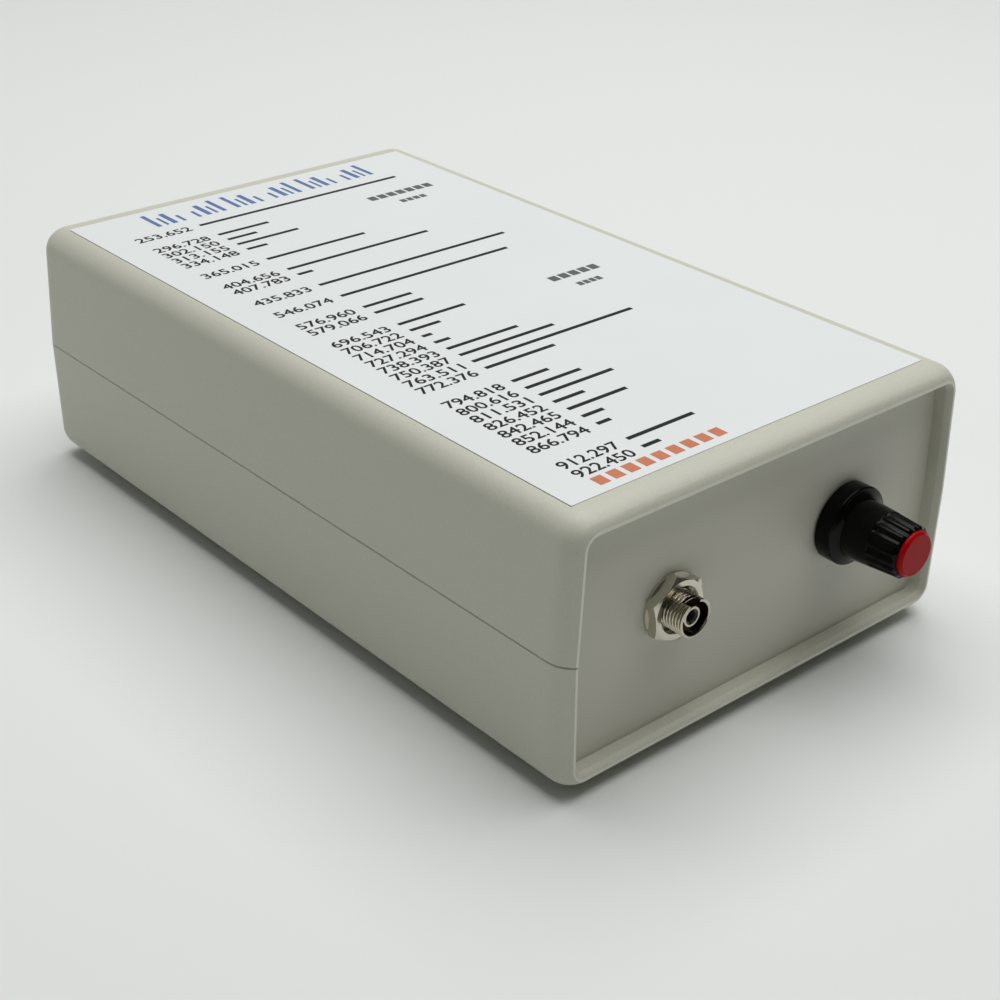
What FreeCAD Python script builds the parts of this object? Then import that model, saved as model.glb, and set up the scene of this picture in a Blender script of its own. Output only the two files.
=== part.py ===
import FreeCAD, Part
import math
import os

# Mercury-argon calibration lamp in a moulded bench case. All sizes are in millimetres.
# The front panel faces -Y, the case is longest along Y, and Z is up from the surface it stands on.
# Everything is built about the middle of the case. save() then moves each piece along Y, so that
# the origin is the middle of the whole part's footprint, knob included.

Vec = FreeCAD.Vector
X_AXIS = Vec(1, 0, 0)
Y_AXIS = Vec(0, 1, 0)
Z_AXIS = Vec(0, 0, 1)

# Case shells
case_width = 110.0          # widest place, at the parting line
case_length = 185.6         # front rim to rear rim
half_height = 28.5          # one shell, parting line to flat
wall = 2.3
edge_radius = 5.8           # long and end edges of the top and of the base
corner_radius = 6.1         # upright corners
end_rounding = 1.15         # the rounded ends are cut off this far before they would close
top_draft = 2.4             # degrees, long sides of the upper shell
base_draft = 1.2            # degrees, long sides of the lower shell
parting_bevel = 0.25
rim_inset = 3.05            # opening edge at the rim, from the outer faces
land_inset = 3.6            # opening behind the flare
flare_depth = 1.5
panel_recess = 4.0          # rim to the outer face of an end panel
tongue_thickness = 0.9
tongue_height = 1.2
tongue_clearance = 0.15
tongue_end_gap = 12.0       # from the panels to the ends of the tongue

# End panels and the frames behind them
panel_thickness = 2.0
panel_side_clearance = 0.2
panel_slack = 0.15
frame_thickness = 1.5
frame_reach = 2.0           # inwards from the wall

# Screw columns, screws and feet
column_x = 45.5
column_y = 74.0
column_radius = 4.6
top_column_radius = 3.8
column_gap = 0.15
well_radius = 3.3
seat_below_parting = 8.0
screw_head_radius = 2.9
screw_head_height = 2.2
screw_radius = 1.2
screw_bite = 11.0
screw_side_clearance = 0.05
column_hole_radius = 1.7
foot_height = 2.0
foot_radius = 5.5
foot_bevel = 0.4
foot_x = 42.0
foot_y = 58.0

# Label and its print
label_width = 96.8
label_length = 172.6
label_thickness = 0.15
label_corner = 0.3
label_x = -0.6              # laid by hand, a little off the middle
ink_thickness = 0.05
bar_width = 0.75
bar_start_x = -23.7
first_bar_y = 70.0
row_pitch = 4.0
group_pitch = 8.0
bar_groups = [[58.5], [14.0, 8.0, 17.0, 5.5], [27.5], [40.0, 4.0], [53.5], [47.5], [13.0, 13.0],
              [18.0, 8.0, 2.5, 4.0, 19.0, 25.5, 44.5, 18.5],
              [9.5, 14.5, 19.5, 8.0, 15.5, 5.5, 3.5], [17.5, 4.5]]
heading_count = 6
heading_pitch = 11.1
heading_y = 79.3
heading_height = 8.6
heading_strokes = ((-3.5, 1.1, 1.0), (-1.3, 0.7, 0.62), (0.8, 1.3, 0.85), (3.4, 0.8, 0.5))
footer_count = 9
footer_width = 2.5
footer_height = 3.0
footer_pitch = 3.75
footer_start_x = -38.6
footer_y = -82.6

# Fibre adaptor in the front panel
adaptor_x = -25.4
adaptor_height = 29.4       # above the flat of the lower shell
adaptor_radius = 4.0        # over the thread in front of the nut
shank_radius = 3.75         # from the nut back, at the pitch line of the thread
adaptor_reach = 7.0         # in front of the panel
adaptor_wall = 0.6
thread_bevel = 0.15
adaptor_socket_depth = 5.6
inner_tube_radius = 2.15
inner_tube_setback = 1.0
sleeve_radius = 1.6
sleeve_bore_radius = 1.25
sleeve_setback = 0.3
sleeve_clearance = 0.02
sleeve_slot = 0.4
shoulder_radius = 6.5
shoulder_thickness = 2.0
tail_length = 6.0
keyway_width = 2.8
keyway_depth = 1.75
keyway_angle = 98.0         # degrees from +X towards +Z
adaptor_hole_clearance = 0.1
ring_radius = 6.7
ring_thickness = 0.6
hex_flats = 12.4
hex_thickness = 2.4
hex_bevel = 0.6
hex_turn = 37.0
hex_bore_clearance = 0.05
hex_countersink = 1.15      # bore to the mouth of the countersink
hex_countersink_depth = 1.7
hex_face_inset = 0.1        # flats to the turned front face

# Brightness knob and its rotary control
knob_x = 23.9
knob_height = 29.9          # above the flat of the lower shell
knob_gap = 0.5
knob_reach = 18.9           # panel to the end of the cap
skirt_radius = 8.5
skirt_thickness = 3.7
skirt_round = 0.5
body_start = 5.1
body_radius = 6.45
body_end_radius = 5.6
body_end_bevel = 0.5
cap_radius = 4.85
cap_proud = 1.1
cap_depth = 1.2
cap_bevel = 0.5
cap_clearance = 0.03
flute_count = 18
flute_turn = 5.0            # degrees, about the axis of the knob
flute_radius = 1.5
flute_depth = 0.25
flute_lead = 0.8            # from the foot of the fluted body to the flutes
skirt_wall = 1.1
skirt_plate = 0.7           # over the hollow of the skirt
shaft_radius = 3.0
shaft_end = 15.0
shaft_side_clearance = 0.03
running_clearance = 0.05
bush_radius = 3.5
bush_reach = 6.1
bush_clearance = 0.1
bush_plate_thickness = 1.2
control_nut_flats = 10.0
control_nut_thickness = 2.0
control_washer_radius = 5.8
control_washer_thickness = 0.5
can_radius = 8.2
can_wall = 0.6
can_depth = 8.0
rotor_radius = 6.8
rotor_thickness = 1.5
rotor_gap = 0.6
terminal_width = 14.0
terminal_thickness = 2.0
terminal_drop = 13.5
lug_width = 1.6
lug_thickness = 0.5
lug_pitch = 5.0
lug_top = 9.0
lug_drop = 17.0

# Lamp and the block that holds it behind the adaptor
block_width = 28.0
block_front_gap = 3.0       # shoulder to block
block_length = 19.0
block_lid_height = 10.0
tube_radius = 3.25
tube_clearance = 0.15
tube_setback = 9.0          # block front to tube axis
tube_length = 40.0
tube_tip_inset = 0.5
lamp_cap_radius = 4.5
lamp_cap_gap = 0.4
port_clearance = 0.1
block_screw_pitch = 20.0
block_screw_setback = 3.2   # from the back of the block
block_screw_radius = 1.5
block_screw_clearance = 0.1
block_screw_bite = 4.5
post_height = 6.0
block_post_radius = 3.2

# Driver board and what stands on it
board_width = 64.0
board_length = 92.0
board_thickness = 1.6
board_corner = 2.0
board_post_x = 28.0
board_post_y = 42.0
board_post_radius = 3.0
board_screw_radius = 1.0
board_screw_head_radius = 2.8
board_screw_head_height = 1.8
board_screw_bite = 4.5
board_hole_radius = 1.3
header_width = 9.0
header_length = 6.0
header_height = 7.0
lamp_header_x = 6.0
control_header_x = 19.5
inlet_header_x = 19.5
header_y = 40.0
core_size = Vec(26.0, 16.0, 22.0)
core_limb = 5.0
core_centre_limb = 8.0
core_x = -14.0
core_y = -14.0
coil_overhang = 4.0
coil_clearance = 0.2
ballast_size = Vec(18.0, 8.0, 13.0)
ballast_x = -16.0
ballast_y = 16.0
smoothing_radius = 5.0
smoothing_height = 16.0
smoothing_x = 16.0
smoothing_ys = (-20.0, -6.0)
sink_width = 28.0
sink_height = 24.0
sink_plate = 2.0
sink_fin_count = 7
sink_fin_length = 9.0
sink_fin_thickness = 1.2
sink_x = 8.0
sink_y = 16.0
transistor_width = 10.0
transistor_body = Vec(10.0, 3.3, 9.0)
transistor_tab = 1.3
transistor_tab_height = 15.0
transistor_lift = 4.0
leg_width = 0.8

# Power inlet in the rear panel
inlet_x = 24.0
inlet_height = 28.5
inlet_flange_radius = 6.8
inlet_flange_thickness = 1.8
inlet_radius = 5.4
inlet_depth = 14.0          # behind the panel
inlet_bore_radius = 2.8
inlet_bore_depth = 9.5
inlet_pin_radius = 1.05
inlet_pin_setback = 0.8
inlet_pin_root = 3.0
inlet_pin_clearance = 0.02
inlet_hole_clearance = 0.1
inlet_nut_flats = 14.0
inlet_nut_thickness = 2.5
inlet_washer_radius = 7.6
inlet_washer_thickness = 0.6
inlet_lug_width = 2.2
inlet_lug_length = 5.0
inlet_lug_pitch = 6.0

# Internal wires
lead_radius = 0.7
lamp_lead_radius = 0.8
lead_bend = 4.0
lead_pitch = 2.4
lamp_lead_pitch = 3.0

# Places that follow from the sizes above
half_width = case_width / 2
half_length = case_length / 2
base_z = foot_height
parting_z = base_z + half_height
top_z = parting_z + half_height
floor_z = base_z + wall
ceiling_z = top_z - wall
panel_y = half_length - panel_recess            # outer face of an end panel, both ends
panel_back_y = panel_y - panel_thickness
adaptor_z = base_z + adaptor_height
knob_z = base_z + knob_height
inlet_z = base_z + inlet_height
post_z = floor_z + post_height
board_z = post_z + board_thickness
knob_end_y = -(panel_y + knob_reach)
footprint_shift = -(knob_end_y + half_length) / 2
overlap = 0.5                                   # run-out of cutting tools past a face
CORNERS = ((-1, -1), (1, -1), (1, 1), (-1, 1))


def save(name, shape):
    """Write one piece, moved so that the origin is the middle of the footprint."""
    piece = shape.copy()
    piece.translate(Vec(0, footprint_shift, 0))
    if not piece.isValid():
        raise ValueError(name + " is not a valid solid")
    piece.exportStep("parts/" + name + ".step")


def one_solid(shape):
    """The refined single solid inside a boolean result."""
    return shape.removeSplitter().Solids[0]


def plan(x, y, z):
    return Vec(x, y, z)


def upright(x, z, y):
    return Vec(x, y, z)


def rounded_wire(corners, radii, level, place):
    """Closed wire through the corners with each one rounded by its radius."""
    starts = []
    edges = []
    count = len(corners)
    for i in range(count):
        here = Vec(corners[i][0], corners[i][1], 0)
        before = Vec(corners[i - 1][0], corners[i - 1][1], 0)
        after = Vec(corners[(i + 1) % count][0], corners[(i + 1) % count][1], 0)
        to_before = (before - here).normalize()
        to_after = (after - here).normalize()
        half_angle = to_before.getAngle(to_after) / 2
        reach = radii[i] / math.tan(half_angle)
        middle = (to_before + to_after).normalize() * (radii[i] / math.sin(half_angle) - radii[i])
        starts.append((here + to_before * reach, here + middle, here + to_after * reach, radii[i] > 0))
    for i in range(count):
        first, middle, last, is_round = starts[i]
        if is_round:
            arc = [place(p.x, p.y, level) for p in (first, middle, last)]
            edges.append(Part.Arc(arc[0], arc[1], arc[2]).toShape())
        following = starts[(i + 1) % count][0]
        edges.append(Part.makeLine(place(last.x, last.y, level), place(following.x, following.y, level)))
    return Part.Wire(edges)


def rectangle(half_x, half_y):
    return [(sx * half_x, sy * half_y) for sx, sy in CORNERS]


def plate(width, length, height, corner, x, y, z):
    """Flat rounded plate lying on the level z, with its middle at x, y."""
    wire = rounded_wire(rectangle(width / 2, length / 2), [corner] * 4, 0, plan)
    piece = Part.Face(wire).extrude(Vec(0, 0, height))
    piece.translate(Vec(x, y, z))
    return piece


def block(size_x, size_y, size_z, x, y, z):
    """Box with its middle at x, y and its underside at z."""
    return Part.makeBox(size_x, size_y, size_z, Vec(x - size_x / 2, y - size_y / 2, z))


def turned(points, x, z, y, direction):
    """Solid turned about an axis along Y. Points are (distance along the axis, radius)."""
    line = [Vec(r, direction * u, 0) for u, r in points]
    face = Part.Face(Part.makePolygon(line + [line[0]]))
    piece = face.revolve(Vec(0, 0, 0), Y_AXIS, 360)
    piece.translate(Vec(x, y, z))
    return piece


def cylinder_y(radius, length, x, y, z):
    return Part.makeCylinder(radius, length, Vec(x, y, z), Y_AXIS)


def cylinder_z(radius, length, x, y, z):
    return Part.makeCylinder(radius, length, Vec(x, y, z), Z_AXIS)


def hexagon(flats, thickness, turn, x, z, y):
    """Hexagonal prism along +Y from the level y."""
    radius = flats / math.sqrt(3)
    angles = [math.radians(turn + 60 * k) for k in range(7)]
    points = [Vec(x + radius * math.cos(a), y, z + radius * math.sin(a)) for a in angles]
    return Part.Face(Part.makePolygon(points)).extrude(Vec(0, thickness, 0))


def draft_in(angle, height):
    return height * math.tan(math.radians(angle))


def case_section(inset, y):
    """Outline of the case across its length, moved inwards from the outer faces."""
    rise = half_height - inset
    wide = half_width - inset
    top = wide - draft_in(top_draft, rise)
    base = wide - draft_in(base_draft, rise)
    corners = [(-base, base_z + inset), (base, base_z + inset), (wide, parting_z),
               (top, top_z - inset), (-top, top_z - inset), (-wide, parting_z)]
    round_off = max(edge_radius - inset, 0.5)
    return rounded_wire(corners, [round_off, round_off, 0, round_off, round_off, 0], y, upright)


def section_prism(inset, start, end):
    return Part.Face(case_section(inset, start)).extrude(Vec(0, end - start, 0))


def shell_blank(flat_z, draft):
    """Outside of one shell: drafted sides, rounded flat, bevelled parting edge, ends cut at the rims."""
    end = half_length + end_rounding
    narrow = half_width - draft_in(draft, half_height)
    away = math.copysign(parting_bevel, flat_z - parting_z)
    sections = [(half_width - parting_bevel, end - parting_bevel, parting_z),
                (half_width - draft_in(draft, parting_bevel), end, parting_z + away),
                (narrow, end, flat_z)]
    wires = [rounded_wire(rectangle(x, y), [corner_radius] * 4, level, plan) for x, y, level in sections]
    blank = Part.makeLoft(wires, True, True)
    flat_edges = [e for e in blank.Edges if all(abs(v.Z - flat_z) < 0.001 for v in e.Vertexes)]
    blank = blank.makeFillet(edge_radius, flat_edges)
    return blank.common(block(case_width + 2, case_length, 2 * top_z, 0, 0, -top_z / 2))


def end_opening(sign):
    """What is taken out of one end: a flare at the rim, then the land up to the panel."""
    slope = (land_inset - rim_inset) / flare_depth
    outer = case_section(rim_inset - slope * overlap, -(half_length + overlap))
    inner = case_section(land_inset, -(half_length - flare_depth))
    flare = Part.makeLoft([outer, inner], True, True)
    land = section_prism(land_inset, -(half_length - flare_depth), -(panel_y - overlap))
    tool = flare.fuse(land)
    if sign > 0:
        tool = tool.mirror(Vec(0, 0, 0), Y_AXIS)
    return tool


def panel_frame(sign):
    """Ring on the walls that holds an end panel against the land."""
    start = panel_back_y - panel_slack - frame_thickness
    ring = section_prism(wall - 0.2, start, start + frame_thickness)
    ring = ring.cut(section_prism(wall + frame_reach, start - overlap, start + frame_thickness + overlap))
    if sign < 0:
        ring = ring.mirror(Vec(0, 0, 0), Y_AXIS)
    return ring


def tongue(side, thickness, height):
    """Strip along a long wall at the parting line, from the inner face outwards."""
    length = 2 * (panel_y - tongue_end_gap)
    inner = half_width - wall
    strip = Part.makeBox(thickness, length, height, Vec(inner, -length / 2, parting_z))
    if side < 0:
        strip = strip.mirror(Vec(0, 0, 0), X_AXIS)
    return strip


def hollow(blank, is_top):
    """Shell wall with its end openings and panel frames."""
    shell = blank.cut([section_prism(wall, -panel_y, panel_y), end_opening(-1), end_opening(1)])
    level = parting_z if is_top else 0
    half_space = block(case_width, case_length, top_z if is_top else parting_z, 0, 0, level)
    return shell.fuse([panel_frame(side).common(half_space) for side in (-1, 1)])


def top_shell():
    shell = hollow(shell_blank(top_z, top_draft), True)
    columns = []
    bores = []
    for sx, sy in CORNERS:
        x, y = sx * column_x, sy * column_y
        low = parting_z + column_gap
        columns.append(cylinder_z(top_column_radius, ceiling_z + overlap - low, x, y, low))
        bores.append(cylinder_z(screw_radius + screw_side_clearance, screw_bite + 2, x, y, low - overlap))
    shell = shell.fuse(columns)
    grooves = [tongue(side, tongue_thickness + tongue_clearance, tongue_height + tongue_clearance)
               for side in (-1, 1)]
    return one_solid(shell.cut(bores + grooves))


def block_screw_places():
    y = block_back_y() - block_screw_setback
    return [(adaptor_x + side * block_screw_pitch / 2, y) for side in (-1, 1)]


def bottom_shell():
    shell = hollow(shell_blank(base_z, base_draft), False)
    seat_z = parting_z - seat_below_parting
    added = [tongue(side, tongue_thickness, tongue_height) for side in (-1, 1)]
    removed = []
    for sx, sy in CORNERS:
        x, y = sx * column_x, sy * column_y
        added.append(cylinder_z(column_radius, parting_z - base_z - wall / 2, x, y, base_z + wall / 2))
        removed.append(cylinder_z(well_radius, seat_z - base_z + overlap, x, y, base_z - overlap))
        removed.append(cylinder_z(column_hole_radius, half_height, x, y, base_z))
        x, y = sx * board_post_x, sy * board_post_y
        added.append(cylinder_z(board_post_radius, post_height + wall / 2, x, y, floor_z - wall / 2))
        removed.append(cylinder_z(board_screw_radius + screw_side_clearance, post_height, x, y, floor_z))
    for x, y in block_screw_places():
        added.append(cylinder_z(block_post_radius, post_height + wall / 2, x, y, floor_z - wall / 2))
        removed.append(cylinder_z(block_screw_radius + screw_side_clearance, post_height, x, y, floor_z))
        front = block_front_y() + block_screw_setback
        added.append(cylinder_z(block_post_radius, post_height + wall / 2, x, front, floor_z - wall / 2))
    return one_solid(shell.fuse(added).cut(removed))


def end_panel(sign, holes):
    """Flat plate that fills the groove behind the land. Holes are (x, z, radius)."""
    inset = wall + panel_side_clearance
    start = panel_back_y if sign > 0 else -panel_y
    body = section_prism(inset, start, start + panel_thickness)
    cuts = [cylinder_y(r, panel_thickness + 2 * overlap, x, start - overlap, z) for x, z, r in holes]
    return one_solid(body.cut(cuts))


def front_panel():
    return end_panel(-1, [(adaptor_x, adaptor_z, adaptor_radius + adaptor_hole_clearance),
                          (knob_x, knob_z, bush_radius + bush_clearance)])


def rear_panel():
    return end_panel(1, [(inlet_x, inlet_z, inlet_radius + inlet_hole_clearance)])


def rubber_feet():
    feet = []
    for sx, sy in CORNERS:
        foot = cylinder_z(foot_radius, foot_height, sx * foot_x, sy * foot_y, 0)
        rims = [e for e in foot.Edges if len(e.Vertexes) == 1 and abs(e.Vertexes[0].Z) < 0.001]
        feet.append(foot.makeChamfer(foot_bevel, rims))
    return Part.makeCompound(feet)


def case_screws():
    screws = []
    seat_z = parting_z - seat_below_parting
    for sx, sy in CORNERS:
        x, y = sx * column_x, sy * column_y
        head = cylinder_z(screw_head_radius, screw_head_height, x, y, seat_z - screw_head_height)
        shank = cylinder_z(screw_radius, seat_below_parting + screw_bite, x, y, seat_z)
        screws.append(one_solid(head.fuse(shank)))
    return Part.makeCompound(screws)


def label():
    return plate(label_width, label_length, label_thickness, label_corner, label_x, 0, top_z)


def printed_bars():
    """Line chart: bars of different lengths that all start at one column, in spaced groups."""
    bars = []
    y = first_bar_y
    for group in bar_groups:
        for length in group:
            bars.append(block(length, bar_width, ink_thickness,
                              bar_start_x + length / 2, y, top_z + label_thickness))
            y -= row_pitch
        y -= group_pitch - row_pitch
    return Part.makeCompound(bars)


def printed_heading():
    """Six groups of upright strokes along the rear edge, every second group the other way round."""
    strokes = []
    for k in range(heading_count):
        middle = (k - (heading_count - 1) / 2) * heading_pitch
        way = 1 if k % 2 == 0 else -1
        for offset, width, share in heading_strokes:
            height = heading_height * share
            strokes.append(block(width, height, ink_thickness, middle + way * offset,
                                 heading_y - (heading_height - height) / 2, top_z + label_thickness))
    return Part.makeCompound(strokes)


def printed_footer():
    """Row of plain marks along the front edge."""
    return Part.makeCompound([block(footer_width, footer_height, ink_thickness,
                                    footer_start_x + k * footer_pitch, footer_y, top_z + label_thickness)
                              for k in range(footer_count)])


def adaptor_body():
    """Turned barrel with a socket, an inner tube, a shoulder behind the panel and a tail."""
    depth = panel_thickness + adaptor_reach
    tube_bore = sleeve_radius + sleeve_clearance
    tail = depth + shoulder_thickness + tail_length
    thread_end = adaptor_reach - ring_thickness - hex_thickness
    profile = [(inner_tube_setback, tube_bore), (inner_tube_setback, inner_tube_radius),
               (adaptor_socket_depth, inner_tube_radius),
               (adaptor_socket_depth, adaptor_radius - adaptor_wall),
               (0, adaptor_radius - adaptor_wall), (0, adaptor_radius - thread_bevel),
               (thread_bevel, adaptor_radius), (thread_end, adaptor_radius), (thread_end, shank_radius),
               (depth, shank_radius), (depth, shoulder_radius),
               (depth + shoulder_thickness, shoulder_radius), (depth + shoulder_thickness, shank_radius),
               (tail, shank_radius), (tail, tube_bore)]
    tip_y = -(panel_y + adaptor_reach)
    body = turned(profile, adaptor_x, adaptor_z, tip_y, 1)
    slot = Part.makeBox(adaptor_wall + 2, keyway_depth + overlap, keyway_width,
                        Vec(adaptor_radius - adaptor_wall - 0.3, -overlap, -keyway_width / 2))
    slot.rotate(Vec(0, 0, 0), Y_AXIS, -keyway_angle)
    slot.translate(Vec(adaptor_x, tip_y, adaptor_z))
    return one_solid(body.cut(slot))


def adaptor_sleeve():
    start = inner_tube_setback + sleeve_setback
    end = panel_thickness + adaptor_reach + shoulder_thickness + tail_length - sleeve_setback
    tip_y = -(panel_y + adaptor_reach)
    sleeve = turned([(start, sleeve_bore_radius), (start, sleeve_radius), (end, sleeve_radius),
                     (end, sleeve_bore_radius)], adaptor_x, adaptor_z, tip_y, 1)
    slot = block(sleeve_slot, end - start + 2 * overlap, sleeve_radius + overlap,
                 adaptor_x, tip_y + (start + end) / 2, adaptor_z - sleeve_radius - overlap)
    return one_solid(sleeve.cut(slot))


def ring(outer, inner, thickness, x, z, y):
    return cylinder_y(outer, thickness, x, y, z).cut(
        cylinder_y(inner, thickness + 2 * overlap, x, y - overlap, z))


def adaptor_washer():
    return ring(ring_radius, adaptor_radius + adaptor_hole_clearance, ring_thickness,
                adaptor_x, adaptor_z, -(panel_y + ring_thickness))


def adaptor_nut():
    """Hexagon nut with its front corners turned off and a countersunk bore."""
    front_y = -(panel_y + ring_thickness + hex_thickness)
    nut = hexagon(hex_flats, hex_thickness, hex_turn, adaptor_x, adaptor_z, front_y)
    corner = hex_flats / math.sqrt(3)
    envelope = turned([(0, 0), (0, hex_flats / 2 - hex_face_inset), (hex_bevel, corner),
                       (hex_thickness, corner), (hex_thickness, 0)], adaptor_x, adaptor_z, front_y, 1)
    bore = shank_radius + hex_bore_clearance
    beyond = overlap * hex_countersink / hex_countersink_depth
    drill = turned([(-overlap, 0), (-overlap, bore + hex_countersink + beyond),
                    (hex_countersink_depth, bore), (hex_thickness + overlap, bore),
                    (hex_thickness + overlap, 0)], adaptor_x, adaptor_z, front_y, 1)
    return one_solid(nut.common(envelope).cut(drill))


def knob():
    """Skirted, tapered and fluted knob, hollow underneath to clear the nut and the bush."""
    end = knob_reach - cap_proud
    skirt_end = knob_gap + skirt_thickness
    skirt_hollow = skirt_end - skirt_plate
    hub = bush_reach + knob_gap
    bore = shaft_radius + shaft_side_clearance
    inner = skirt_radius - skirt_wall
    socket = cap_radius + cap_clearance
    bush_room = bush_radius + 0.8
    profile = [(knob_gap, inner), (knob_gap, skirt_radius), (skirt_end - skirt_round, skirt_radius),
               (skirt_end, skirt_radius - skirt_round), (body_start, body_radius),
               (end - body_end_bevel, body_end_radius), (end, body_end_radius - body_end_bevel),
               (end, socket), (end - cap_depth, socket), (end - cap_depth, bore), (hub, bore),
               (hub, bush_room), (skirt_hollow, bush_room), (skirt_hollow, inner)]
    body = turned(profile, knob_x, knob_z, -panel_y, -1)
    lean = math.degrees(math.atan((body_radius - body_end_radius) / (end - body_start)))
    flutes = []
    for k in range(flute_count):
        flute = Part.makeCylinder(flute_radius, end - body_start,
                                  Vec(0, -(body_start + flute_lead),
                                      body_radius + flute_radius - flute_depth),
                                  Vec(0, -1, 0))
        flute.rotate(Vec(0, -body_start, body_radius), X_AXIS, lean)
        flute.rotate(Vec(0, 0, 0), Y_AXIS, (k + 0.5) * 360 / flute_count + flute_turn)
        flute.translate(Vec(knob_x, -panel_y, knob_z))
        flutes.append(flute)
    return one_solid(body.cut(flutes))


def knob_cap():
    start = knob_reach - cap_proud - cap_depth
    return turned([(start, 0), (start, cap_radius), (knob_reach - cap_bevel, cap_radius),
                   (knob_reach, cap_radius - cap_bevel), (knob_reach, 0)], knob_x, knob_z, -panel_y, -1)


def control_shaft():
    """Shaft with the wiper disc that turns inside the can."""
    disc_start = -(panel_thickness + bush_plate_thickness + rotor_gap)
    disc_end = disc_start - rotor_thickness
    return turned([(disc_end, 0), (disc_end, rotor_radius), (disc_start, rotor_radius),
                   (disc_start, shaft_radius), (shaft_end, shaft_radius), (shaft_end, 0)],
                  knob_x, knob_z, -panel_y, -1)


def control_bush():
    bore = shaft_radius + running_clearance
    back = -(panel_thickness + bush_plate_thickness)
    return turned([(back, bore), (back, can_radius), (-panel_thickness, can_radius),
                   (-panel_thickness, bush_radius), (bush_reach, bush_radius), (bush_reach, bore)],
                  knob_x, knob_z, -panel_y, -1)


def terminal_block_shape():
    y = can_back_y() - 1.0 - terminal_thickness / 2
    return block(terminal_width, terminal_thickness, terminal_drop - 5.0, knob_x, y, knob_z - terminal_drop)


def can_front_y():
    return -(panel_back_y - bush_plate_thickness)


def can_back_y():
    return can_front_y() + can_depth


def control_can():
    inner = can_radius - can_wall
    can = turned([(0, inner), (0, can_radius), (can_depth, can_radius), (can_depth, 0),
                  (can_depth - can_wall, 0), (can_depth - can_wall, inner)], knob_x, knob_z, can_front_y(), 1)
    return one_solid(can.cut(terminal_block_shape()))


def control_terminals():
    return terminal_block_shape()


def control_lugs():
    y = can_back_y() - 1.0 - terminal_thickness - lug_thickness / 2
    lugs = [block(lug_width, lug_thickness, lug_drop - lug_top, knob_x + k * lug_pitch, y, knob_z - lug_drop)
            for k in (-1, 0, 1)]
    return Part.makeCompound(lugs)


def control_washer():
    return ring(control_washer_radius, bush_radius + bush_clearance, control_washer_thickness,
                knob_x, knob_z, -(panel_y + control_washer_thickness))


def control_nut():
    y = -(panel_y + control_washer_thickness + control_nut_thickness)
    nut = hexagon(control_nut_flats, control_nut_thickness, 0, knob_x, knob_z, y)
    return one_solid(nut.cut(cylinder_y(bush_radius + hex_bore_clearance,
                                        control_nut_thickness + 2 * overlap, knob_x, y - overlap, knob_z)))


def block_front_y():
    return -panel_back_y + shoulder_thickness + block_front_gap


def block_back_y():
    return block_front_y() + block_length


def tube_y():
    return block_front_y() + tube_setback


def lamp_bores():
    """Tube bore, light port and screw holes, through the block and its lid."""
    left = adaptor_x - block_width / 2
    tube = Part.makeCylinder(tube_radius + tube_clearance, block_width + 2 * overlap,
                             Vec(left - overlap, tube_y(), adaptor_z), X_AXIS)
    port = cylinder_y(shank_radius + port_clearance, tube_setback, adaptor_x, block_front_y(), adaptor_z)
    height = ceiling_z
    screws = [cylinder_z(block_screw_radius + block_screw_clearance, height, x, y, 0)
              for x, y in block_screw_places()]
    return [tube, port] + screws


def lamp_block():
    body = block(block_width, block_length, adaptor_z - post_z, adaptor_x,
                 (block_front_y() + block_back_y()) / 2, post_z)
    return one_solid(body.cut(lamp_bores()))


def lamp_block_lid():
    body = block(block_width, block_length, block_lid_height, adaptor_x,
                 (block_front_y() + block_back_y()) / 2, adaptor_z)
    return one_solid(body.cut(lamp_bores()))


def lamp_screws():
    top = adaptor_z + block_lid_height
    screws = []
    for x, y in block_screw_places():
        head = cylinder_z(screw_head_radius, screw_head_height, x, y, top)
        low = post_z - block_screw_bite
        screws.append(one_solid(head.fuse(cylinder_z(block_screw_radius, top - low, x, y, low))))
    return Part.makeCompound(screws)


def lamp_tube():
    """Sealed quartz tube with a round tip, solid because nothing opens it."""
    left = adaptor_x - block_width / 2 + tube_tip_inset
    body = Part.makeCylinder(tube_radius, tube_length - tube_radius,
                             Vec(left + tube_radius, tube_y(), adaptor_z), X_AXIS)
    tip = Part.makeSphere(tube_radius, Vec(left + tube_radius, tube_y(), adaptor_z))
    return one_solid(body.fuse(tip))


def lamp_cap_start():
    return adaptor_x + block_width / 2 + lamp_cap_gap


def lamp_cap():
    start = lamp_cap_start()
    tube_end = adaptor_x - block_width / 2 + tube_tip_inset + tube_length
    body = Part.makeCylinder(lamp_cap_radius, tube_end - start + 2.0, Vec(start, tube_y(), adaptor_z), X_AXIS)
    bore = Part.makeCylinder(tube_radius + 0.05, tube_end - start + 0.05 + overlap,
                             Vec(start - overlap, tube_y(), adaptor_z), X_AXIS)
    return one_solid(body.cut(bore))


def driver_board():
    board = plate(board_width, board_length, board_thickness, board_corner, 0, 0, post_z)
    holes = [cylinder_z(board_hole_radius, board_thickness + 2 * overlap, sx * board_post_x,
                        sy * board_post_y, post_z - overlap) for sx, sy in CORNERS]
    return one_solid(board.cut(holes))


def board_screws():
    screws = []
    for sx, sy in CORNERS:
        x, y = sx * board_post_x, sy * board_post_y
        head = cylinder_z(board_screw_head_radius, board_screw_head_height, x, y, board_z)
        length = board_thickness + board_screw_bite
        screws.append(one_solid(head.fuse(cylinder_z(board_screw_radius, length, x, y, board_z - length))))
    return Part.makeCompound(screws)


def board_headers():
    places = ((lamp_header_x, -header_y), (control_header_x, -header_y), (inlet_header_x, header_y))
    return Part.makeCompound([block(header_width, header_length, header_height, x, y, board_z)
                              for x, y in places])


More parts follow.
